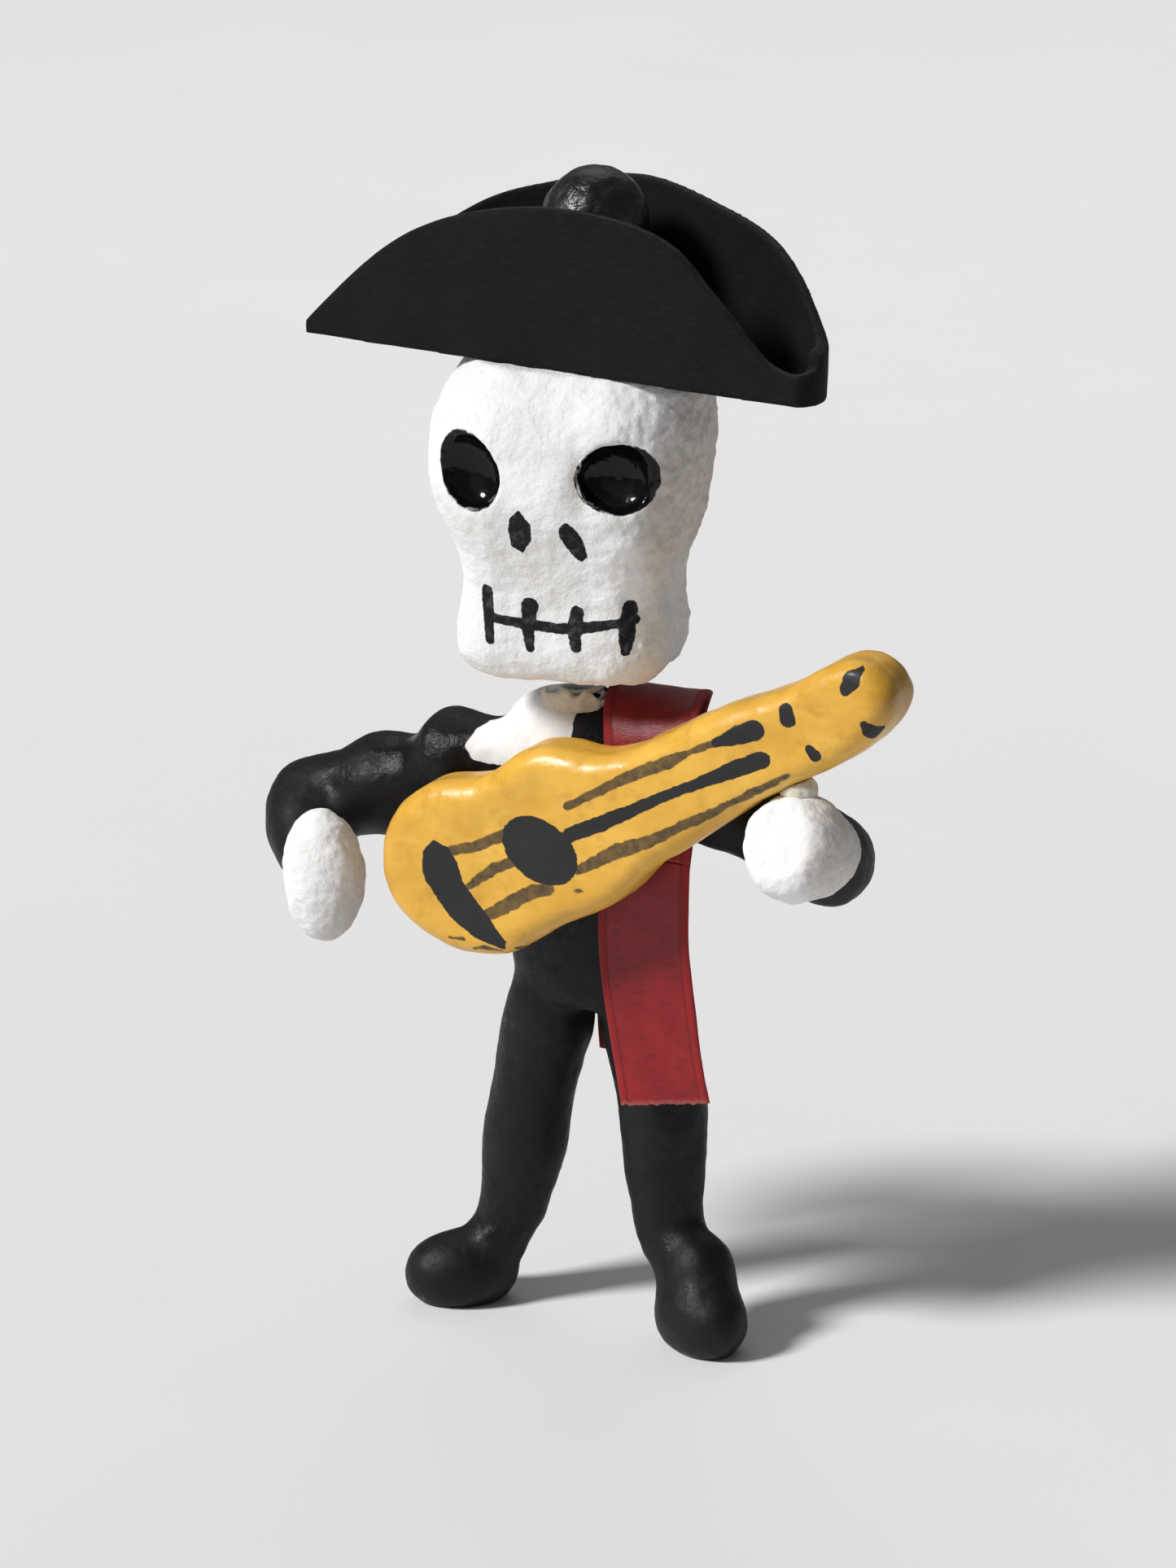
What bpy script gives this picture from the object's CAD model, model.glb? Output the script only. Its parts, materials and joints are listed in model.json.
"""Looks of the papier-mache skeleton musician: shaped pieces, finishes, light and camera.

Meshes are worked in millimetres in the shared frame and scaled to metres at the end.
"""
import json
import math
import random

import bpy
import bmesh
import numpy as np
from mathutils import Matrix, Vector, noise
from mathutils.bvhtree import BVHTree

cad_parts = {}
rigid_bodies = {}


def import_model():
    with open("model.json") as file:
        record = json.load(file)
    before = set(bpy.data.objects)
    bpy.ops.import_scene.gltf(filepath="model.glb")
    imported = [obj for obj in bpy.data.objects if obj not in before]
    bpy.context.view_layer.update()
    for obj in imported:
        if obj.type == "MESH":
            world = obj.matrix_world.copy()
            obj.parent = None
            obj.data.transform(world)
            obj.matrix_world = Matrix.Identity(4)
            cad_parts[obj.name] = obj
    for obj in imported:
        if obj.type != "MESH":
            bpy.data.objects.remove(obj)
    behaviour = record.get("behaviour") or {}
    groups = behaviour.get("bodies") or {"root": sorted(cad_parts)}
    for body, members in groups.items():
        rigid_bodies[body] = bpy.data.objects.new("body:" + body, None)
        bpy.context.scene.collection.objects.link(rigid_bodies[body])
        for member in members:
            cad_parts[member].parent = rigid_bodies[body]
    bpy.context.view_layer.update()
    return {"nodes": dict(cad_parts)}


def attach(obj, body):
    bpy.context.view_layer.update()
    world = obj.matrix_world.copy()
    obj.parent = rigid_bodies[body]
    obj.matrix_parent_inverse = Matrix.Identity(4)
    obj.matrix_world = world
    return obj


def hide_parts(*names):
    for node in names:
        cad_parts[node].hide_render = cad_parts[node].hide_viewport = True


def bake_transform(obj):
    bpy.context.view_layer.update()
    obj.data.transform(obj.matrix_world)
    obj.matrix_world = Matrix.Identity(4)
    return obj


for leftover in list(bpy.data.objects):
    bpy.data.objects.remove(leftover)

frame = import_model()

MM = 0.001
BODY_X, BODY_Y = -1.6, 5.1        # the figure's own midline in the shared frame, mm
HEAD_X, HEAD_Y, HEAD_YAW = 0.6, -5.0, math.radians(11.0)
NECK_Y, PIVOT_Z = -2.0, 68.2
SPRING_R, SPRING_WIRE_R, SPRING_PITCH, SPRING_LONG = 2.1, 0.3, 1.25, 6.9
HAT_X, HAT_Z, HAT_ROLL = 2.1, 101.35, math.radians(1.75)
RIBBON_WIDE = 10.0


# ------------------------------------------------------------------ mesh work
def link(mesh, name):
    obj = bpy.data.objects.new(name, mesh)
    bpy.context.scene.collection.objects.link(obj)
    return obj


def cad_copy(nodes):
    """One mesh in millimetres with the faces of the named CAD nodes, welded."""
    verts, faces = [], []
    for node in nodes:
        data = frame["nodes"][node].data
        base = len(verts)
        verts += [tuple(v.co / MM) for v in data.vertices]
        faces += [[base + i for i in p.vertices] for p in data.polygons]
    mesh = bpy.data.meshes.new("work")
    mesh.from_pydata(verts, [], faces)
    weld = bmesh.new()
    weld.from_mesh(mesh)
    bmesh.ops.remove_doubles(weld, verts=weld.verts, dist=0.0005)
    weld.to_mesh(mesh)
    weld.free()
    return mesh


def evaluated(obj):
    """The mesh with its modifiers applied; the working object goes."""
    bpy.context.view_layer.update()
    depsgraph = bpy.context.evaluated_depsgraph_get()
    result = bpy.data.meshes.new_from_object(obj.evaluated_get(depsgraph))
    bpy.data.objects.remove(obj)
    return result


def largest_island(mesh):
    """Drop every loose shell but the biggest one."""
    work = bmesh.new()
    work.from_mesh(mesh)
    seen, best = set(), []
    for start in work.verts:
        if start in seen:
            continue
        island, queue = [], [start]
        seen.add(start)
        while queue:
            v = queue.pop()
            island.append(v)
            for e in v.link_edges:
                w = e.other_vert(v)
                if w not in seen:
                    seen.add(w)
                    queue.append(w)
        if len(island) > len(best):
            best = island
    keep = set(best)
    bmesh.ops.delete(work, geom=[v for v in work.verts if v not in keep], context="VERTS")
    work.to_mesh(mesh)
    work.free()
    return mesh


def cast(nodes, voxel, smooth):
    """A soft-edged shell round the CAD nodes, the way paper pulp and paint cover a form."""
    obj = link(cad_copy(nodes), "work")
    remesh = obj.modifiers.new("Remesh", "REMESH")
    remesh.mode = "VOXEL"
    remesh.voxel_size = voxel
    if smooth:
        soften = obj.modifiers.new("Smooth", "SMOOTH")
        soften.factor = 0.5
        soften.iterations = smooth
    return largest_island(evaluated(obj))


def points_of(mesh):
    co = np.empty(len(mesh.vertices) * 3)
    mesh.vertices.foreach_get("co", co)
    return co.reshape(-1, 3)


def normals_of(mesh):
    mesh.update()
    normals = np.empty(len(mesh.vertices) * 3)
    mesh.vertex_normals.foreach_get("vector", normals)
    return normals.reshape(-1, 3)


def set_points(mesh, co):
    mesh.vertices.foreach_set("co", np.ascontiguousarray(co).ravel())
    mesh.update()


def grain(points, size, seed):
    """Smooth noise from -1 to 1 with features of that size in mm."""
    rng = random.Random(seed)
    shift = Vector([rng.uniform(-90, 90) for _ in range(3)])
    return np.array([noise.noise(Vector(p) / size + shift) for p in points])


def relief(points, layers, seed):
    """Height in mm summed over (size, height) layers."""
    return sum(height * grain(points, size, seed + i) for i, (size, height) in enumerate(layers))


def push(mesh, height):
    """Move every vertex along its normal."""
    set_points(mesh, points_of(mesh) + normals_of(mesh) * np.asarray(height)[:, None])


def soften(mesh, weight, rounds):
    """Relax every vertex toward its neighbours by its own weight."""
    ends = np.empty(len(mesh.edges) * 2, int)
    mesh.edges.foreach_get("vertices", ends)
    a, b = ends.reshape(-1, 2).T
    both, other = np.concatenate([a, b]), np.concatenate([b, a])
    count = np.maximum(np.bincount(both, minlength=len(mesh.vertices)), 1)
    co = points_of(mesh)
    for _ in range(rounds):
        mean = np.stack([np.bincount(both, co[other, k], len(co)) for k in range(3)], 1) / count[:, None]
        co += (mean - co) * (0.5 * weight)[:, None]
    set_points(mesh, co)


def bump(points, centre, radius, height):
    """A soft round swelling, or a dent where height is negative."""
    d = np.linalg.norm(points - np.array(centre), axis=1) / radius
    return height * np.exp(-2.2 * d * d)


def field(mesh, name, values):
    layer = mesh.attributes.get(name) or mesh.attributes.new(name, "FLOAT", "POINT")
    layer.data.foreach_set("value", np.asarray(values, np.float32))


def smooth_step(x, low, high):
    t = np.clip((x - low) / (high - low), 0, 1)
    return t * t * (3 - 2 * t)


def finished(mesh, name, material, body, replaces):
    """Scale to metres, shade smooth, and hand the piece to the frame."""
    mesh.transform(Matrix.Scale(MM, 4))
    mesh.shade_smooth()
    mesh.name = name
    mesh.materials.clear()
    mesh.materials.append(material)
    obj = link(mesh, name)
    if body:
        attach(obj, body)
    if replaces:
        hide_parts(*replaces)
    return obj


# ------------------------------------------------------------------ painted shapes
def body_xyz(points):
    return points[:, 0] - BODY_X, points[:, 1] - BODY_Y, points[:, 2]


def head_xyz(points):
    """Across the face, behind the face plane, height."""
    x, y, z = body_xyz(points)
    dx, dy = x - HEAD_X, y - HEAD_Y
    c, s = math.cos(HEAD_YAW), math.sin(HEAD_YAW)
    return dx * c + dy * s, -dx * s + dy * c, z


def stroke(u, v, path):
    """Signed distance from a brush stroke through (u, v, half width) points."""
    best = np.full(len(u), 1e3)
    for (ax, ay, ra), (bx, by, rb) in zip(path, path[1:]):
        dx, dy = bx - ax, by - ay
        h = np.clip(((u - ax) * dx + (v - ay) * dy) / (dx * dx + dy * dy), 0, 1)
        best = np.minimum(best, np.hypot(u - ax - h * dx, v - ay - h * dy) - (ra + (rb - ra) * h))
    return best


def oval(u, v, centre, radii, tilt=0.0):
    """Signed distance, near enough, from an ellipse tilted by degrees."""
    c, s = math.cos(math.radians(tilt)), math.sin(math.radians(tilt))
    du, dv = u - centre[0], v - centre[1]
    return (np.hypot((du * c + dv * s) / radii[0], (dv * c - du * s) / radii[1]) - 1) * min(radii)


def patch(u, v, outline):
    """Signed distance from a closed outline."""
    best, inside = np.full(len(u), 1e3), np.zeros(len(u), bool)
    for (ax, ay), (bx, by) in zip(outline, outline[1:] + outline[:1]):
        dx, dy = bx - ax, by - ay
        h = np.clip(((u - ax) * dx + (v - ay) * dy) / (dx * dx + dy * dy), 0, 1)
        best = np.minimum(best, np.hypot(u - ax - h * dx, v - ay - h * dy))
        crossing = (ay > v) != (by > v)
        inside ^= crossing & (u < ax + (v - ay) * dx / (dy if dy else 1e-9))
    return np.where(inside, -best, best)


# ------------------------------------------------------------------ finishes
class Finish:
    """Builds one node material. Coordinates are millimetres in the shared frame."""

    def __init__(self, name, **principled):
        self.material = bpy.data.materials.new(name)
        self.material.use_nodes = True
        self.nodes = self.material.node_tree.nodes
        self.links = self.material.node_tree.links
        self.nodes.clear()
        output = self.nodes.new("ShaderNodeOutputMaterial")
        self.shader = self.nodes.new("ShaderNodeBsdfPrincipled")
        self.links.new(self.shader.outputs[0], output.inputs["Surface"])
        for socket, value in principled.items():
            self.shader.inputs[socket.replace("_", " ")].default_value = value
        self.mm = self.scaled((1000, 1000, 1000), self.add("ShaderNodeTexCoord").outputs["Object"])

    def add(self, kind, **settings):
        node = self.nodes.new(kind)
        for key, value in settings.items():
            setattr(node, key, value)
        return node

    def feed(self, socket, value):
        if isinstance(value, bpy.types.NodeSocket):
            self.links.new(value, socket)
        elif socket.type == "RGBA" and len(value) == 3:
            socket.default_value = (*value, 1.0)
        else:
            socket.default_value = value

    def scaled(self, scale, source=None):
        node = self.add("ShaderNodeMapping")
        node.inputs["Scale"].default_value = scale
        self.links.new(source or self.mm, node.inputs["Vector"])
        return node.outputs[0]

    def noise(self, size, detail=3.0, rough=0.55, source=None, warp=0.0):
        node = self.add("ShaderNodeTexNoise")
        node.inputs["Scale"].default_value = 1.0 / size
        node.inputs["Detail"].default_value = detail
        node.inputs["Roughness"].default_value = rough
        node.inputs["Distortion"].default_value = warp
        self.links.new(source or self.mm, node.inputs["Vector"])
        return node.outputs["Fac"]

    def attribute(self, name):
        return self.add("ShaderNodeAttribute", attribute_name=name).outputs["Fac"]

    def sum(self, operation, *values):
        node = self.add("ShaderNodeMath", operation=operation)
        for socket, value in zip(node.inputs, values):
            self.feed(socket, value)
        return node.outputs[0]

    def span(self, value, low, high, out_low=0.0, out_high=1.0, soft=False):
        node = self.add("ShaderNodeMapRange", interpolation_type="SMOOTHSTEP" if soft else "LINEAR")
        for socket, v in zip(node.inputs, (value, low, high, out_low, out_high)):
            self.feed(socket, v)
        return node.outputs[0]

    def mix(self, low, high, share):
        node = self.add("ShaderNodeMix", data_type="RGBA")
        self.feed(node.inputs[0], share)
        self.feed(node.inputs[6], low)
        self.feed(node.inputs[7], high)
        return node.outputs[2]

    def blend(self, low, high, share):
        node = self.add("ShaderNodeMix", data_type="FLOAT")
        self.feed(node.inputs[0], share)
        self.feed(node.inputs[2], low)
        self.feed(node.inputs[3], high)
        return node.outputs[0]

    def painted(self, name, wobble=0.10, edge=0.06, size=0.7):
        """1 inside the painted shape whose signed distance is the attribute, with a hand-made edge."""
        rough_edge = self.span(self.noise(size, 3.0), 0.25, 0.75, -wobble, wobble)
        return self.span(self.sum("ADD", self.attribute(name), rough_edge), edge, -edge, soft=True)

    def surface(self, colour, roughness, height, depth_mm, strength=1.0):
        self.feed(self.shader.inputs["Base Color"], colour)
        self.feed(self.shader.inputs["Roughness"], roughness)
        node = self.add("ShaderNodeBump")
        node.inputs["Strength"].default_value = strength
        node.inputs["Distance"].default_value = depth_mm * MM
        self.feed(node.inputs["Height"], height)
        self.links.new(node.outputs[0], self.shader.inputs["Normal"])
        return self.material


def gesso_finish(name, inked):
    """Chalky white ground over pulp; the skull also carries painted features."""
    f = Finish(name, Specular_IOR_Level=0.25)
    cloud, fine, pits = f.noise(7.0, 3), f.noise(0.45, 5, 0.65), f.noise(1.3, 4, 0.6)
    colour = f.mix((0.80, 0.80, 0.79), (0.87, 0.885, 0.90), f.span(cloud, 0.35, 0.65))
    dirt = f.sum("MULTIPLY", f.span(pits, 0.44, 0.25), f.span(fine, 0.55, 0.35))
    colour = f.mix(colour, (0.50, 0.45, 0.39), f.sum("MULTIPLY", dirt, 0.55))
    grime = f.sum("MULTIPLY", f.attribute("shade"), f.span(pits, 0.25, 0.6, 1.0, 0.7))
    colour = f.mix(colour, (0.40, 0.31, 0.25), grime)
    height = f.sum("ADD", f.sum("MULTIPLY", fine, 0.55), f.sum("MULTIPLY", pits, 0.9))
    roughness = f.span(fine, 0.3, 0.7, 0.82, 0.96)
    if inked:
        ink, eye = f.painted("ink", 0.08, 0.05, 0.5), f.painted("eye", 0.10, 0.06, 0.9)
        thin = f.span(f.noise(0.8, 3), 0.30, 0.50, 0.94, 1.0)
        colour = f.mix(colour, (0.0085, 0.0085, 0.0115), f.sum("MULTIPLY", ink, thin))
        colour = f.mix(colour, (0.0035, 0.0035, 0.0045), eye)
        roughness = f.blend(f.blend(roughness, 0.78, ink), 0.13, eye)
        height = f.blend(height, f.sum("MULTIPLY", f.noise(1.6, 2), 0.5), eye)
    return f.surface(colour, roughness, height, 0.20, 1.0)


def black_paint_finish():
    """Acrylic black over paper: satin charcoal with glossy wet-looking patches, and the white shirt."""
    f = Finish("black_paint_over_paper", Specular_IOR_Level=0.27)
    cloud, fine, mid = f.noise(9.0, 3), f.noise(0.35, 5, 0.65), f.noise(1.5, 4, 0.6)
    colour = f.mix((0.0030, 0.0029, 0.0033), (0.0075, 0.0066, 0.0064), f.span(cloud, 0.3, 0.7))
    colour = f.mix(colour, (0.032, 0.026, 0.022), f.sum("MULTIPLY", f.span(mid, 0.56, 0.78), 0.35))
    patchy = f.sum("ADD", f.attribute("gloss"), f.span(mid, 0.3, 0.7, -0.35, 0.35))
    gloss = f.span(patchy, 0.25, 0.75, soft=True)
    satin, wet = f.span(fine, 0.3, 0.7, 0.46, 0.62), f.span(fine, 0.3, 0.7, 0.14, 0.26)
    roughness = f.blend(satin, wet, gloss)
    shirt = f.painted("shirt", 0.16, 0.07, 1.6)
    white = f.mix((0.80, 0.81, 0.83), (0.90, 0.905, 0.92), f.span(mid, 0.3, 0.7))
    colour = f.mix(colour, white, f.sum("MULTIPLY", shirt, f.span(f.noise(1.1, 3), 0.25, 0.45, 0.97, 1.0)))
    roughness = f.blend(roughness, 0.6, shirt)
    height = f.sum("ADD", f.sum("MULTIPLY", fine, f.blend(0.35, 0.75, gloss)), f.sum("MULTIPLY", mid, 0.8))
    height = f.sum("MULTIPLY", height, f.blend(1.0, 0.45, shirt))
    return f.surface(colour, roughness, height, 0.13, 0.8)


def lacquer_finish():
    """Thick glossy black on the crown."""
    f = Finish("black_lacquer_on_crown", Specular_IOR_Level=0.55)
    fine, mid = f.noise(0.45, 4, 0.6), f.noise(1.6, 4, 0.6)
    colour = f.mix((0.005, 0.005, 0.006), (0.014, 0.012, 0.012), f.span(mid, 0.35, 0.7))
    roughness = f.span(mid, 0.35, 0.65, 0.20, 0.42)
    height = f.sum("ADD", f.sum("MULTIPLY", fine, 0.4), mid)
    return f.surface(colour, roughness, height, 0.20, 0.9)


def card_finish():
    """Matte black painted card with a paler worn cut edge."""
    f = Finish("black_card_brim", Specular_IOR_Level=0.14)
    cloud, fine = f.noise(12.0, 3), f.noise(0.22, 4, 0.7)
    fibre = f.noise(0.5, 4, 0.65, f.scaled((0.35, 1.0, 1.6)))
    colour = f.mix((0.0055, 0.0056, 0.0060), (0.0100, 0.0100, 0.0105), f.span(cloud, 0.3, 0.7))
    colour = f.mix(colour, (0.024, 0.023, 0.022), f.sum("MULTIPLY", f.span(fibre, 0.5, 0.75), 0.35))
    worn = f.sum("MULTIPLY", f.attribute("edge"), f.span(f.noise(1.2, 4), 0.30, 0.60, 0.35, 1.0))
    colour = f.mix(colour, (0.034, 0.032, 0.031), worn)
    roughness = f.span(fine, 0.3, 0.7, 0.72, 0.88)
    height = f.sum("ADD", f.sum("MULTIPLY", fine, 0.5), f.sum("MULTIPLY", fibre, 0.6))
    return f.surface(colour, roughness, height, 0.07, 0.8)


def ochre_finish():
    """Ochre paint under varnish with brushed black and thin brown strokes."""
    f = Finish("ochre_varnished_guitar", Specular_IOR_Level=0.5, Coat_Weight=0.15, Coat_Roughness=0.22)
    cloud, mid, fine = f.noise(8.0, 3), f.noise(2.2, 4, 0.6), f.noise(0.5, 4, 0.6)
    streak = f.noise(1.0, 3, 0.5, f.scaled((0.25, 1.0, 0.9)))
    colour = f.mix((0.66, 0.345, 0.030), (0.80, 0.455, 0.055), f.span(cloud, 0.35, 0.65))
    colour = f.mix(colour, (0.86, 0.52, 0.10), f.sum("MULTIPLY", f.span(streak, 0.5, 0.75), 0.4))
    colour = f.mix(colour, (0.50, 0.235, 0.022), f.sum("MULTIPLY", f.span(mid, 0.46, 0.28), 0.5))
    stain = f.sum("MULTIPLY", f.attribute("stain"), f.span(mid, 0.25, 0.7, 1.0, 0.55))
    colour = f.mix(colour, (0.155, 0.075, 0.020), stain)
    wash, ink = f.painted("wash", 0.13, 0.09, 0.9), f.painted("ink", 0.10, 0.05, 0.8)
    coverage = f.span(f.noise(1.1, 4, 0.65), 0.30, 0.62, 0.78, 0.97)
    colour = f.mix(colour, (0.046, 0.028, 0.010), f.sum("MULTIPLY", wash, coverage))
    colour = f.mix(colour, (0.0050, 0.0048, 0.0052), ink)
    roughness = f.span(mid, 0.3, 0.7, 0.26, 0.46)
    roughness = f.blend(roughness, 0.66, f.sum("MAXIMUM", ink, f.sum("MULTIPLY", wash, 0.6)))
    height = f.sum("ADD", f.sum("MULTIPLY", fine, 0.25), f.sum("MULTIPLY", mid, 0.9))
    height = f.sum("ADD", height, f.sum("MULTIPLY", ink, 0.12))
    return f.surface(colour, roughness, height, 0.16, 0.7)


def ribbon_finish():
    """Red satin ribbon: fine weft ribs, a denser woven edge, dull frayed cut."""
    f = Finish("red_satin_ribbon", Specular_IOR_Level=0.4, Sheen_Weight=0.12, Sheen_Roughness=0.35,
               Anisotropic=0.35)
    f.shader.inputs["Sheen Tint"].default_value = (1.0, 0.45, 0.42, 1.0)
    place = f.add("ShaderNodeCombineXYZ")
    f.links.new(f.attribute("across"), place.inputs[0])
    f.links.new(f.attribute("along"), place.inputs[1])
    weft = f.noise(0.10, 2, 0.5, f.scaled((0.16, 1.0, 1.0), place.outputs[0]))
    warp = f.noise(0.09, 2, 0.5, f.scaled((1.0, 0.10, 1.0), place.outputs[0]))
    slub = f.noise(0.6, 3, 0.6, f.scaled((0.35, 1.0, 1.0), place.outputs[0]))
    cloud = f.noise(4.5, 3, 0.55, place.outputs[0])
    side = f.sum("ABSOLUTE", f.attribute("across"))
    selvedge = f.span(side, 4.02, 4.16, soft=True)
    groove = f.sum("MULTIPLY", f.span(side, 3.86, 4.04, soft=True), f.span(side, 4.22, 4.06, soft=True))
    colour = f.mix((0.185, 0.0045, 0.0080), (0.275, 0.0080, 0.0115), f.span(cloud, 0.32, 0.68))
    colour = f.mix(colour, (0.34, 0.018, 0.020), f.sum("MULTIPLY", f.span(weft, 0.50, 0.72), 0.45))
    colour = f.mix(colour, (0.105, 0.0024, 0.0050), f.sum("MULTIPLY", f.span(slub, 0.46, 0.30), 0.50))
    colour = f.mix(colour, (0.32, 0.020, 0.022), f.sum("MULTIPLY", selvedge, 0.35))
    colour = f.mix(colour, (0.105, 0.0030, 0.0050), f.sum("MULTIPLY", groove, 0.65))
    frayed = f.attribute("cut")
    threads = f.sum("MULTIPLY", frayed, f.span(warp, 0.3, 0.7, 0.25, 0.85))
    colour = f.mix(colour, (0.55, 0.20, 0.17), threads)
    roughness = f.span(weft, 0.3, 0.7, 0.36, 0.52)
    roughness = f.blend(roughness, 0.75, f.sum("MAXIMUM", selvedge, frayed))
    height = f.sum("ADD", f.sum("MULTIPLY", weft, 0.8), f.sum("MULTIPLY", warp, 0.35))
    height = f.sum("ADD", height, f.sum("MULTIPLY", slub, 0.7))
    height = f.sum("SUBTRACT", height, f.sum("MULTIPLY", groove, 0.8))
    return f.surface(colour, roughness, height, 0.045, 0.8)


def spring_finish():
    """Steel spring wire brushed over with white paint, chipped here and there."""
    f = Finish("white_painted_spring", Specular_IOR_Level=0.45)
    mid, fine = f.noise(0.8, 4, 0.6), f.noise(0.25, 4, 0.6)
    chip = f.span(mid, 0.66, 0.72, soft=True)
    colour = f.mix((0.74, 0.73, 0.68), (0.86, 0.855, 0.83), f.span(fine, 0.3, 0.7))
    colour = f.mix(colour, (0.16, 0.15, 0.14), chip)
    roughness = f.blend(f.span(fine, 0.3, 0.7, 0.5, 0.75), 0.32, chip)
    return f.surface(colour, roughness, f.sum("ADD", fine, f.sum("MULTIPLY", mid, 0.8)), 0.05, 0.7)


def steel_finish():
    """Annealed armature wire with faint draw marks and dull spots."""
    f = Finish("steel_armature_wire", Metallic=1.0)
    mid, fine = f.noise(1.2, 4, 0.6), f.noise(0.2, 4, 0.6)
    colour = f.mix((0.36, 0.35, 0.34), (0.55, 0.54, 0.53), f.span(mid, 0.3, 0.7))
    roughness = f.span(fine, 0.3, 0.7, 0.30, 0.50)
    return f.surface(colour, roughness, fine, 0.02, 0.5)


def glue_finish():
    """Cream glue thickened with paper crumbs."""
    f = Finish("cream_glue_crumbs", Specular_IOR_Level=0.4, Subsurface_Weight=0.12, Subsurface_Scale=0.0006)
    mid, fine = f.noise(0.9, 4, 0.6), f.noise(0.3, 4, 0.65)
    colour = f.mix((0.66, 0.62, 0.50), (0.83, 0.81, 0.73), f.span(mid, 0.3, 0.7))
    colour = f.mix(colour, (0.33, 0.27, 0.19), f.sum("MULTIPLY", f.span(fine, 0.42, 0.28), 0.6))
    roughness = f.span(fine, 0.3, 0.7, 0.55, 0.82)
    return f.surface(colour, roughness, f.sum("ADD", fine, mid), 0.14, 0.8)


SKULL_WHITE = gesso_finish("chalk_white_skull", True)
HAND_WHITE = gesso_finish("chalk_white_hands", False)
BLACK = black_paint_finish()
LACQUER = lacquer_finish()
CARD = card_finish()
OCHRE = ochre_finish()
SATIN = ribbon_finish()
SPRING_PAINT = spring_finish()
STEEL = steel_finish()
GLUE = glue_finish()


# ------------------------------------------------------------------ head
# painted face: ovals as centre, half sizes and tilt in degrees, outlines of (across, height),
# strokes of (across, height, half width); right and left are the figure's own
RIGHT_EYE, LEFT_EYE = ((-7.6, 91.9), (3.15, 4.0), 24), ((7.5, 92.1), (3.65, 3.55), -14)
RIGHT_NOSTRIL = [(-2.3, 88.5), (-1.25, 87.2), (-1.3, 85.5), (-2.2, 84.2), (-3.2, 84.7),
                 (-3.45, 86.4), (-3.2, 87.6)]
LEFT_NOSTRIL = [(2.4, 87.6), (3.1, 87.0), (3.6, 86.3), (3.95, 85.2), (4.15, 84.0), (3.6, 83.6),
                (2.9, 84.1), (2.2, 85.1), (1.75, 86.2), (1.8, 87.1)]
MOUTH = [(-6.1, 76.75, 0.35), (-3.8, 76.5, 0.42), (-2.1, 76.3, 0.5), (0.6, 76.15, 0.42),
         (2.6, 76.3, 0.52), (5.4, 76.8, 0.42), (8.3, 77.3, 0.30)]
STITCHES = [[(-6.35, 79.6, 0.50), (-6.3, 77.0, 0.50), (-6.2, 74.4, 0.36)],
            [(-2.0, 78.3, 0.78), (-2.1, 77.6, 0.66), (-2.25, 75.5, 0.52), (-2.15, 73.9, 0.36)],
            [(2.75, 78.0, 0.56), (2.6, 77.0, 0.62), (2.5, 75.4, 0.54), (2.6, 74.3, 0.42)],
            [(7.85, 78.8, 0.50), (7.6, 77.0, 0.66), (7.5, 75.4, 0.60), (7.4, 74.2, 0.38)]]


def make_skull():
    mesh = cast(["skull"], 0.27, 5)
    across, depth, high = head_xyz(points_of(mesh))
    front = smooth_step(-depth, 3.0, 7.0)
    eyes = np.minimum(oval(across, high, *RIGHT_EYE), oval(across, high, *LEFT_EYE))
    # unpainted hollow beside the eye on the figure's left, cheek hollows and temple
    shape = -0.75 * front * np.exp(-((across - 4.2) / 1.5) ** 2 - ((high - 91.6) / 3.0) ** 2)
    shape += 0.30 * front * np.exp(-((across - 0.0) / 2.6) ** 2 - ((high - 88.0) / 5.0) ** 2)
    brow = np.exp(-((high - 96.8) / 2.4) ** 2) * np.exp(-((np.abs(across) - 6.5) / 5.0) ** 2)
    shape += 0.35 * front * brow
    push(mesh, shape)
    points = points_of(mesh)
    side = smooth_step(across, 3.0, 9.5)
    quiet = np.clip(smooth_step(eyes, -0.8, 0.4), 0.15, 1)
    rough = relief(points, [(6.0, 0.20), (2.4, 0.16)], 11)
    rough += (0.75 + 1.1 * side) * relief(points, [(1.2, 0.10), (0.6, 0.055)], 21)
    push(mesh, rough * quiet)
    across, depth, high = head_xyz(points_of(mesh))
    away = np.maximum(depth + 4.0, 0)
    field(mesh, "eye", eyes + away)
    ink = np.minimum(patch(across, high, RIGHT_NOSTRIL), patch(across, high, LEFT_NOSTRIL))
    for line in [MOUTH] + STITCHES:
        ink = np.minimum(ink, stroke(across, high, line))
    field(mesh, "ink", ink - 0.10 + away)
    socket = 0.55 * np.exp(-((across - 3.3) / 0.9) ** 2 - ((high - 91.4) / 2.4) ** 2) * front
    field(mesh, "shade", 0.60 * smooth_step(across - 0.2 * np.abs(high - 86.0), 7.5, 10.5) + socket)
    return finished(mesh, "papier_mache_skull", SKULL_WHITE, "head", ["skull"])


def make_brim():
    mesh = cast(["hat_brim"], 0.25, 3)
    points = points_of(mesh)
    push(mesh, relief(points, [(9.0, 0.10), (2.5, 0.03)], 31))
    x, _, z = body_xyz(points_of(mesh))
    normals = normals_of(mesh)
    above = z - HAT_Z + (x - HAT_X) * math.tan(HAT_ROLL)
    cut = smooth_step(1 - np.abs(normals[:, 1]), 0.35, 0.85) * smooth_step(normals[:, 2], 0.0, 0.3)
    field(mesh, "edge", cut * smooth_step(above, 1.9, 2.6))
    return finished(mesh, "folded_hat_brim", CARD, "head", ["hat_brim"])


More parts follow.
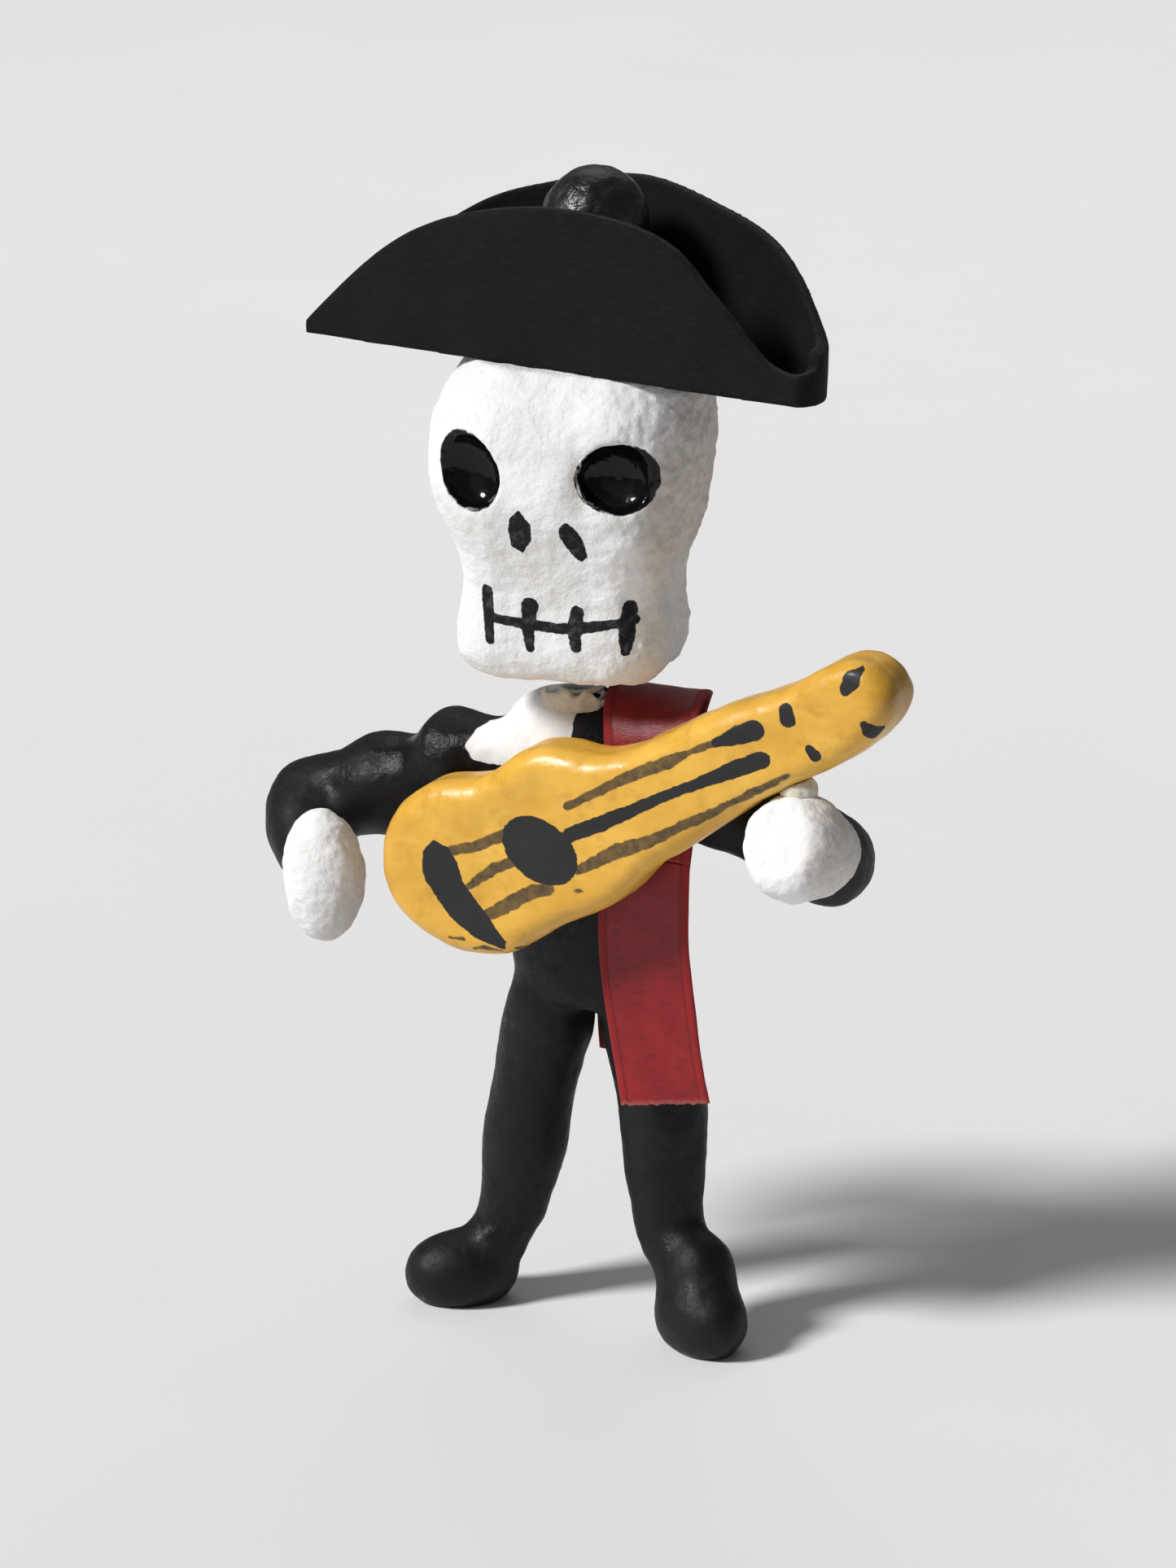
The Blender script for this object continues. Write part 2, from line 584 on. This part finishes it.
def make_crown():
    mesh = cast(["hat_crown"], 0.22, 6)
    push(mesh, relief(points_of(mesh), [(4.5, 0.22), (1.6, 0.12), (0.7, 0.05)], 41))
    return finished(mesh, "rounded_hat_crown", LACQUER, "head", ["hat_crown"])


# ------------------------------------------------------------------ body
BODY_NODES = ["torso", "right_sleeve", "left_sleeve", "right_leg", "left_leg", "right_boot", "left_boot"]
PAINTED_NAMES = {"torso": "painted_jacket_torso", "right_sleeve": "painted_right_sleeve",
                 "left_sleeve": "painted_left_sleeve", "right_leg": "painted_right_leg",
                 "left_leg": "painted_left_leg", "right_boot": "painted_right_boot",
                 "left_boot": "painted_left_boot"}
SHIRT = [(-5.0, 68.5), (-7.0, 65.8), (-9.4, 63.4), (-11.2, 61.4), (-11.8, 60.0), (-11.0, 58.9),
         (-9.2, 58.4), (-7.0, 58.6), (-4.0, 59.0), (0.8, 60.0), (1.1, 64.0), (0.9, 68.5)]
# centre, radius and strength of the wet-looking places
GLOSS = [((-19.0, -4.0, 58.0), 5.5, 0.9), ((-13.0, -4.5, 58.5), 5.0, 0.9), ((-26.5, -5.0, 54.5), 4.0, 0.55),
         ((3.0, -7.0, 62.0), 4.0, 0.9), ((-16.5, -5.0, 2.5), 3.5, 0.9), ((-10.0, -3.0, 8.0), 3.5, 0.65),
         ((-8.0, -4.0, 31.0), 2.6, 0.5), ((15.5, -6.0, 2.0), 3.4, 0.6), ((10.0, -4.0, 9.5), 3.0, 0.5),
         ((13.8, -5.5, 7.0), 2.2, 0.5), ((27.0, -4.0, 50.5), 4.0, 0.35)]

# elbow folds, flattened upper arm, top of the thigh, ankles: centre, radius and height
FOLDS = [((-26.8, -5.2, 53.6), 1.6, -0.55), ((-24.5, -3.4, 51.0), 1.6, -0.45),
         ((-11.5, -0.8, 63.1), 5.0, -0.9), ((-18.5, -0.9, 59.9), 5.5, -1.0),
         ((-8.6, -3.4, 34.6), 1.5, -0.2), ((-11.6, -2.6, 8.6), 1.8, -0.25),
         ((12.4, -4.0, 8.8), 1.7, -0.25)]


def make_body():
    mesh = cast(BODY_NODES + ["arm_wire", "leg_wire"], 0.27, 9)
    points = points_of(mesh)
    x, y, z = body_xyz(points)
    waist, ankles = np.exp(-((z - 36.0) / 4.0) ** 2), np.exp(-((z - 9.0) / 4.5) ** 2)
    arms = smooth_step(np.abs(x), 6.0, 9.0) * smooth_step(z, 42.0, 45.0)
    soften(mesh, np.maximum(np.maximum(0.6 * waist, ankles), arms), 130)
    points = points_of(mesh)
    x, y, z = body_xyz(points)
    body = np.stack([x, y, z], 1)
    shape = relief(points, [(7.0, 0.22), (3.0, 0.12), (1.2, 0.05), (0.6, 0.02)], 51)
    for centre, radius, height in FOLDS:
        shape += bump(body, centre, radius, height)
    push(mesh, shape * smooth_step(z, 0.1, 0.9))
    points = points_of(mesh)
    points[:, 2] = np.maximum(points[:, 2], 0.0)
    set_points(mesh, points)
    x, y, z = body_xyz(points)
    body = np.stack([x, y, z], 1)
    beyond_front = np.maximum(y + 1.5, 0) * 1.5 + np.maximum(56.0 - z, 0)
    field(mesh, "shirt", patch(x, z, SHIRT) + beyond_front)
    field(mesh, "gloss", sum(bump(body, *place) for place in GLOSS))
    split_by_node(mesh)


def split_by_node(mesh):
    """Cut the one painted skin into the pieces it covers, with shared borders and unbroken shading."""
    trees = []
    for node in BODY_NODES:
        data = frame["nodes"][node].data
        trees.append(BVHTree.FromPolygons([v.co / MM for v in data.vertices],
                                          [tuple(p.vertices) for p in data.polygons]))
    owner = []
    for p in mesh.polygons:
        distances = [tree.find_nearest(p.center, 6.0)[3] or 9.0 for tree in trees]
        owner.append(distances.index(min(distances)))
    normals = normals_of(mesh)
    layers = {name: np.empty(len(mesh.vertices), np.float32) for name in ("shirt", "gloss")}
    for name, values in layers.items():
        mesh.attributes[name].data.foreach_get("value", values)
    whole = [tuple(v.co) for v in mesh.vertices]
    for index, node in enumerate(BODY_NODES):
        kept = [tuple(p.vertices) for p, o in zip(mesh.polygons, owner) if o == index]
        used = sorted({i for face in kept for i in face})
        place = {old: new for new, old in enumerate(used)}
        part = bpy.data.meshes.new(node + "_skin")
        part.from_pydata([whole[i] for i in used], [], [[place[i] for i in face] for face in kept])
        close = bmesh.new()
        close.from_mesh(part)
        rim = [e for e in close.edges if e.is_boundary]
        caps = bmesh.ops.holes_fill(close, edges=rim, sides=0)["faces"]
        bmesh.ops.poke(close, faces=caps)
        close.to_mesh(part)
        close.free()
        extra = len(part.vertices) - len(used)
        for name, values in layers.items():
            field(part, name, np.append(values[used], np.zeros(extra)))
        obj = finished(part, PAINTED_NAMES[node], BLACK, "figure", [node])
        shading = [tuple(n) for n in normals[used]] + [(0, 0, 1)] * extra
        obj.data.normals_split_custom_set_from_vertices(shading)


def make_hands():
    for node, seed in (("right_hand", 61), ("left_hand", 71)):
        mesh = cast([node], 0.22, 6)
        push(mesh, relief(points_of(mesh), [(3.5, 0.20), (1.5, 0.13), (0.7, 0.08)], seed))
        x, _, z = body_xyz(points_of(mesh))
        if node == "right_hand":
            soiled = smooth_step(x + 0.5 * (46.0 - z), -23.0, -19.5)
        else:
            soiled = smooth_step(x, 30.0, 32.5)
        field(mesh, "shade", 0.45 * soiled)
        finished(mesh, "papier_mache_" + node, HAND_WHITE, "figure", [node])


# ------------------------------------------------------------------ guitar
# painted marks: oval as centre, half sizes and tilt in degrees, outlines of (x, z), strokes of
# (x, z, half width)
HOLE = ((1.9, 53.9), (4.35, 3.15), -24)
BRIDGE = [(-9.8, 53.4), (-10.9, 52.2), (-11.1, 50.7), (-10.8, 49.2), (-9.8, 47.8), (-8.0, 45.5),
          (-5.3, 43.9), (-2.2, 42.9), (-1.8, 43.9), (-3.5, 45.9), (-5.3, 47.9), (-6.6, 49.6),
          (-7.2, 51.5), (-8.2, 52.9)]
STRING_B = [(5.2, 56.0, 0.75), (8.4, 57.5, 0.82), (11.8, 59.3, 0.66), (15.2, 61.2, 0.54),
            (18.0, 62.6, 0.52), (20.6, 63.9, 0.66), (23.1, 65.2, 0.84), (26.0, 66.5, 0.90)]
STRING_A = [(5.0, 58.9, 0.42), (8.4, 60.9, 0.46), (11.8, 62.9, 0.60), (16.2, 65.0, 0.64),
            (18.2, 66.2, 0.28), (21.1, 67.6, 0.42), (23.6, 68.7, 0.95), (25.2, 69.4, 1.05)]
STRING_C = [(6.0, 52.4, 0.45), (10.5, 55.1, 0.80), (13.2, 56.2, 0.66), (15.6, 57.5, 0.54),
            (18.0, 59.0, 0.52), (20.6, 60.3, 0.50), (22.2, 61.4, 0.30), (24.6, 62.8, 0.42),
            (26.8, 64.1, 0.34), (28.8, 65.3, 0.20)]
LOW_STRINGS = [[(-7.9, 52.5, 0.52), (-5.2, 53.3, 0.55), (-2.1, 54.9, 0.58)],
               [(-6.4, 48.7, 0.25), (-5.2, 49.7, 0.45), (-3.0, 51.4, 0.58), (-0.9, 52.4, 0.52)],
               [(-4.2, 46.2, 0.55), (-1.6, 47.8, 0.78), (0.4, 49.2, 0.72), (2.9, 50.2, 0.68)]]
SMUDGES = [[(-8.2, 43.4, 0.10), (-6.6, 43.5, 0.22)],
           [(-5.6, 42.6, 0.18), (-4.4, 42.9, 0.25), (-2.6, 42.7, 0.12)],
           [(-1.2, 43.0, 0.22), (0.2, 43.2, 0.30), (1.0, 43.3, 0.12)]]
PEGS = [[(36.0, 76.6, 0.30), (35.3, 75.6, 0.98), (34.7, 74.6, 0.62)],
        [(28.5, 71.7, 0.80), (28.7, 70.9, 0.84)],
        [(36.7, 71.4, 0.45), (37.3, 70.6, 0.86), (37.9, 70.7, 0.55)],
        [(30.9, 68.2, 0.45), (31.6, 67.7, 0.66)]]


def make_guitar():
    mesh = cast(["guitar"], 0.25, 8)
    points = points_of(mesh)
    x, y, z = body_xyz(points)
    shape = relief(points, [(8.0, 0.30), (3.0, 0.12), (1.2, 0.04)], 81)
    shape -= 0.25 * np.exp(-((x - 2.0) / 1.4) ** 2 - ((z - 60.5) / 3.0) ** 2)
    push(mesh, shape)
    x, y, z = body_xyz(points_of(mesh))
    away = np.maximum(y + 13.4, 0) * 1.5
    ink = np.minimum(oval(x, z, *HOLE), patch(x, z, BRIDGE))
    for line in [STRING_B, STRING_A[-3:]] + PEGS:
        ink = np.minimum(ink, stroke(x, z, line))
    field(mesh, "ink", ink + away)
    wash = oval(x, z, (6.3, 50.4), (0.55, 0.28))
    for line in [STRING_A, STRING_C] + LOW_STRINGS + SMUDGES:
        wash = np.minimum(wash, stroke(x, z, line))
    field(mesh, "wash", wash + away)
    rim = smooth_step(-np.hypot(x + 4.0, (z - 51.5) * 1.1), -11.8, -14.5)
    rim *= smooth_step(-(x + z), -44.0, -34.0)
    under = smooth_step(y, -13.5, -9.5) * smooth_step(-z, -60.0, -44.0)
    head_end = 0.6 * smooth_step(x, 36.5, 39.5)
    field(mesh, "stain", np.clip(0.8 * rim + 0.7 * under + head_end, 0, 0.9))
    return finished(mesh, "painted_guitar", OCHRE, "figure", ["guitar"])


# ------------------------------------------------------------------ neck spring and glue
def make_spring():
    sides, per_turn = 12, 44
    count = int(SPRING_LONG / SPRING_PITCH * per_turn)
    verts, faces = [], []
    for i in range(count + 1):
        a = 2 * math.pi * i / per_turn
        height = PIVOT_Z - SPRING_LONG / 2 + SPRING_PITCH * i / per_turn
        coat = SPRING_WIRE_R + 0.05 * noise.noise(Vector((i * 0.11, 3.0, 7.0)))
        for j in range(sides):
            b = 2 * math.pi * j / sides
            r = SPRING_R + coat * math.cos(b)
            verts.append((BODY_X + r * math.cos(a), BODY_Y + NECK_Y + r * math.sin(a),
                          height + coat * math.sin(b)))
            if i:
                here, there = i * sides, (i - 1) * sides
                faces.append((there + j, there + (j + 1) % sides, here + (j + 1) % sides, here + j))
    faces += [list(range(sides))[::-1], list(range(count * sides, (count + 1) * sides))]
    mesh = bpy.data.meshes.new("coil")
    mesh.from_pydata(verts, [], faces)
    mesh.update()
    obj = finished(mesh, "white_neck_spring", SPRING_PAINT, None, ["neck_spring"])
    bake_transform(obj)


def heap(mesh, seed, rise):
    """Draw crumbs out along the spring: up from the shoulders, down from the chin."""
    points = points_of(mesh)
    middle = points[:, 2].mean()
    lump = 0.75 + 0.7 * grain(points * (1, 1, 0), 1.3, seed)
    points[:, 2] += rise * lump * smooth_step((points[:, 2] - middle) * np.sign(rise), -0.1, 0.35)
    set_points(mesh, points)


def make_glue():
    for node, name, body, seed in (("neck_glue", "shoulder_glue_crumbs", "figure", 91),
                                   ("skull_glue", "chin_glue_crumbs", "head_socket", 95),
                                   ("guitar_glue", "guitar_glue_dab", "figure", 99),
                                   ("hand_glue", "hand_glue_dab", "figure", 103),
                                   ("ribbon_glue", "ribbon_glue_dab", "figure", 107)):
        mesh = cast([node], 0.15, 3)
        push(mesh, relief(points_of(mesh), [(1.3, 0.16), (0.6, 0.07)], seed) - 0.04)
        if node in ("neck_glue", "skull_glue"):
            heap(mesh, seed, 1.35 if node == "neck_glue" else -1.35)
        finished(mesh, name, GLUE, body, [node])


# ------------------------------------------------------------------ ribbon
SHOULDER_LINE = [(9.45, -7.3, 45.7), (9.7, -7.35, 56.0), (10.0, -7.3, 61.0), (9.8, -6.7, 64.2),
                 (9.3, -5.3, 66.2), (8.6, -3.2, 67.1), (7.7, -0.6, 67.3), (6.9, 2.0, 66.9),
                 (5.5, 4.4, 65.7), (4.3, 6.1, 63.5), (3.5, 6.9, 60.8), (3.3, 7.1, 54.0),
                 (2.3, 7.1, 45.6)]
FRONT_LINE = [(9.7, -7.2, 40.0), (10.7, -7.1, 32.8), (11.8, -7.0, 26.6)]
BACK_LINE = [(1.8, 7.2, 38.0), (1.9, 7.2, 30.0), (2.2, 7.2, 26.3)]
FRONT_JOIN_Z, BACK_JOIN_Z = 52.0, 52.0     # where the strip is cut, above the swing of its tails
RIBBON_THICK, RIBBON_EDGE = 0.30, 0.15     # the edge is rounded over this width
RIBBON_STEP, RIBBON_COLUMNS = 0.3, 44


def smooth_path(knots, step):
    """Points every step mm along a centripetal curve through the knots."""
    knots = [Vector(k) for k in knots]
    ends = [2 * knots[0] - knots[1]] + knots + [2 * knots[-1] - knots[-2]]
    dense = []
    for p0, p1, p2, p3 in zip(ends, ends[1:], ends[2:], ends[3:]):
        for i in range(24):
            t = i / 24
            dense.append(0.5 * (2 * p1 + (p2 - p0) * t + (2 * p0 - 5 * p1 + 4 * p2 - p3) * t * t
                                + (3 * p1 - p0 - 3 * p2 + p3) * t ** 3))
    dense.append(knots[-1])
    lengths = np.concatenate([[0], np.cumsum([(b - a).length for a, b in zip(dense, dense[1:])])])
    count = int(lengths[-1] / step)
    marks = np.linspace(0, lengths[-1], count + 1)
    cols = [np.interp(marks, lengths, [p[k] for p in dense]) for k in range(3)]
    return [Vector(p) for p in zip(*cols)], marks


def ribbon_rows(path, marks):
    """Centre, run, direction across and outward side at every point of the path."""
    rows = []
    for i, (p, s) in enumerate(zip(path, marks)):
        a, b = path[max(i - 1, 0)], path[min(i + 1, len(path) - 1)]
        along = (b - a).normalized()
        side = Vector((1, 0, 0)) - along * along.x
        side.normalize()
        out = side.cross(along).normalized()
        behind = 1 if s > marks[-1] / 2 else -1
        if out.y * behind < -0.2 or (abs(out.y) <= 0.6 and out.z < 0):
            out = -out
        rows.append((p, along, side, out))
    return rows


def ribbon_grid(rows, marks, across):
    """The strip's middle surface: gentle ripples, curling edges and frayed cuts."""
    total = marks[-1]
    grid = []
    for (p, along, side, out), s in zip(rows, marks):
        line = []
        in_front = s < total / 2
        ravel = max(0.0, 1 - min(s, total - s) / 1.6) * (1 if in_front else -1)
        for u in across:
            fray = 0.22 * noise.noise(Vector((u * 1.7, 0, 5.0 if in_front else 15.0)))
            fray += 0.10 * noise.noise(Vector((u * 6.0, 0, 25.0 if in_front else 35.0)))
            ripple = 0.16 * noise.noise(Vector((u / 5.0, s / 9.0, 2.0)))
            ripple += 0.05 * noise.noise(Vector((u / 1.6, s / 3.0, 9.0)))
            curl = 0.22 * max(0.0, (abs(u) - 3.6) / 1.4) ** 2
            curl *= noise.noise(Vector((s / 7.0, 1.0 if u > 0 else 8.0, 0)))
            ridge = 0.05 * math.exp(-((abs(u) - 4.5) / 0.35) ** 2)
            line.append(p + side * u + along * (fray * ravel) + out * (ripple + curl + ridge + 0.05))
        grid.append(line)
    return grid


def strip_mesh(name, grid, rows, marks, across, first, last):
    """Closed thin strip between two rows of the grid, with its weave coordinates."""
    verts, cols, runs, cuts, faces = [], [], [], [], []
    for layer in (0.5, -0.5):
        for i in range(first, last + 1):
            for j, u in enumerate(across):
                over = max(0.0, (abs(u) - (RIBBON_WIDE / 2 - RIBBON_EDGE)) / RIBBON_EDGE)
                thin = max(math.sqrt(max(0.0, 1 - over ** 2)), 0.15)
                v = grid[i][j] + rows[i][3] * RIBBON_THICK * layer * thin
                verts.append((v[0] + BODY_X, v[1] + BODY_Y, v[2]))
                cols.append(u)
                runs.append(marks[i])
                cuts.append(max(0.0, 1 - min(marks[i], marks[-1] - marks[i]) / 0.45))
    columns, wide, high = len(across) - 1, len(across), last - first + 1
    size = wide * high
    for i in range(high - 1):
        for j in range(columns):
            q = i * wide + j
            faces.append((q, q + 1, q + wide + 1, q + wide))
            faces.append((size + q, size + q + wide, size + q + wide + 1, size + q + 1))
        for j, flip in ((0, False), (columns, True)):
            q = i * wide + j
            edge = (q, q + wide, size + q + wide, size + q)
            faces.append(edge[::-1] if flip else edge)
    for i, flip in ((0, True), (high - 1, False)):
        for j in range(columns):
            q = i * wide + j
            edge = (q, q + 1, size + q + 1, size + q)
            faces.append(edge if flip else edge[::-1])
    mesh = bpy.data.meshes.new(name)
    mesh.from_pydata(verts, [], faces)
    fix = bmesh.new()
    fix.from_mesh(mesh)
    bmesh.ops.recalc_face_normals(fix, faces=fix.faces)
    fix.to_mesh(mesh)
    fix.free()
    field(mesh, "across", cols)
    field(mesh, "along", runs)
    field(mesh, "cut", cuts)
    return mesh


def make_ribbon():
    """One strip over the shoulder, cut at the two places where its tails start to swing."""
    path, marks = smooth_path(FRONT_LINE[::-1] + SHOULDER_LINE + BACK_LINE, RIBBON_STEP)
    across = np.linspace(-RIBBON_WIDE / 2, RIBBON_WIDE / 2, RIBBON_COLUMNS + 1)
    rows = ribbon_rows(path, marks)
    grid = ribbon_grid(rows, marks, across)
    front_join = next(i for i, p in enumerate(path) if p.z >= FRONT_JOIN_Z)
    back_join = next(i for i, p in enumerate(path) if marks[i] > marks[-1] / 2 and p.z <= BACK_JOIN_Z)
    made = []
    for name, first, last, node in (
            ("front_ribbon_tail", 0, front_join, "ribbon_front_tail"),
            ("shoulder_ribbon", front_join, back_join, "ribbon_shoulder"),
            ("back_ribbon_tail", back_join, len(rows) - 1, "ribbon_back_tail")):
        mesh = strip_mesh(name, grid, rows, marks, across, first, last)
        body = "figure" if node == "ribbon_shoulder" else None
        made.append((finished(mesh, name, SATIN, body, [node]), marks[last] - marks[first]))
    front, shoulder, back = made
    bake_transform(front[0])
    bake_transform(back[0])


make_skull()
make_brim()
make_crown()
make_body()
make_hands()
make_guitar()
make_spring()
make_glue()
make_ribbon()

for wire in ("arm_wire", "leg_wire"):
    frame["nodes"][wire].data.materials.clear()
    frame["nodes"][wire].data.materials.append(STEEL)


# ------------------------------------------------------------------ floor, light, camera
def floor():
    """Pale round floor, rising softly far away."""
    rings, spokes = 40, 96
    verts, faces = [(0, 0, 0)], []
    for i in range(1, rings + 1):
        r = 3.0 * (i / rings) ** 1.6
        for j in range(spokes):
            a = 2 * math.pi * j / spokes
            verts.append((r * math.cos(a), r * math.sin(a), 0))
            k, n = 1 + (i - 1) * spokes + j, 1 + (i - 1) * spokes + (j + 1) % spokes
            faces.append((0, k, n) if i == 1 else (k - spokes, k, n, n - spokes))
    mesh = bpy.data.meshes.new("floor")
    mesh.from_pydata(verts, [], faces)
    obj = link(mesh, "floor")
    f = Finish("pale_floor", Specular_IOR_Level=0.2)
    cloud = f.noise(60.0, 3)
    mesh.materials.append(f.surface(f.mix((0.86, 0.86, 0.86), (0.89, 0.89, 0.89), cloud), 0.9,
                                    f.noise(0.8, 3), 0.01, 0.3))


def lamp(name, kind, azimuth, elevation, distance, size, power, colour):
    """A soft light aimed at the middle of the figure: a square with its side in metres, or a sun
    with its apparent width in degrees."""
    data = bpy.data.lights.new(name, kind)
    data.energy, data.color = power, colour
    if kind == "SUN":
        data.angle = math.radians(size)
    else:
        data.size = size
    obj = bpy.data.objects.new(name, data)
    bpy.context.scene.collection.objects.link(obj)
    a, e = math.radians(azimuth), math.radians(elevation)
    back = Vector((math.sin(a) * math.cos(e), -math.cos(a) * math.cos(e), math.sin(e)))
    obj.location = Vector((0, 0, 0.06)) + back * distance
    obj.rotation_euler = back.to_track_quat("Z", "Y").to_euler()


floor()
lamp("key", "SUN", -38, 40, 0.70, 14, 3.3, (1.0, 0.99, 0.98))
lamp("front_fill", "AREA", -10, 25, 0.90, 0.60, 0.25, (0.90, 0.95, 1.0))
lamp("back_fill", "AREA", 205, 50, 0.90, 0.60, 0.9, (1.0, 0.94, 0.88))

world = bpy.data.worlds.new("studio")
bpy.context.scene.world = world
world.use_nodes = True
sky = world.node_tree.nodes["Background"]
sky.inputs["Color"].default_value = (0.93, 0.94, 1.0, 1.0)
sky.inputs["Strength"].default_value = 0.13

CAMERA_AZIMUTH, CAMERA_ELEVATION, CAMERA_DISTANCE = math.radians(27), math.radians(17), 0.700
HALF_HIGH = 0.07833                # half the picture's height at the target
CAMERA_TARGET = Vector((-2.04, 5.1, 56.3)) * MM
camera = bpy.data.cameras.new("camera")
camera.sensor_width = 36.0
camera.lens = camera.sensor_width / 2 * CAMERA_DISTANCE / HALF_HIGH
camera.clip_start, camera.clip_end = 0.01, 20.0
viewer = bpy.data.objects.new("camera", camera)
bpy.context.scene.collection.objects.link(viewer)
away = Vector((math.sin(CAMERA_AZIMUTH) * math.cos(CAMERA_ELEVATION),
               -math.cos(CAMERA_AZIMUTH) * math.cos(CAMERA_ELEVATION), math.sin(CAMERA_ELEVATION)))
viewer.location = CAMERA_TARGET + away * CAMERA_DISTANCE
viewer.rotation_mode = "QUATERNION"
viewer.rotation_quaternion = away.to_track_quat("Z", "Y")
bpy.context.scene.camera = viewer
bpy.context.scene.view_settings.view_transform = "Standard"
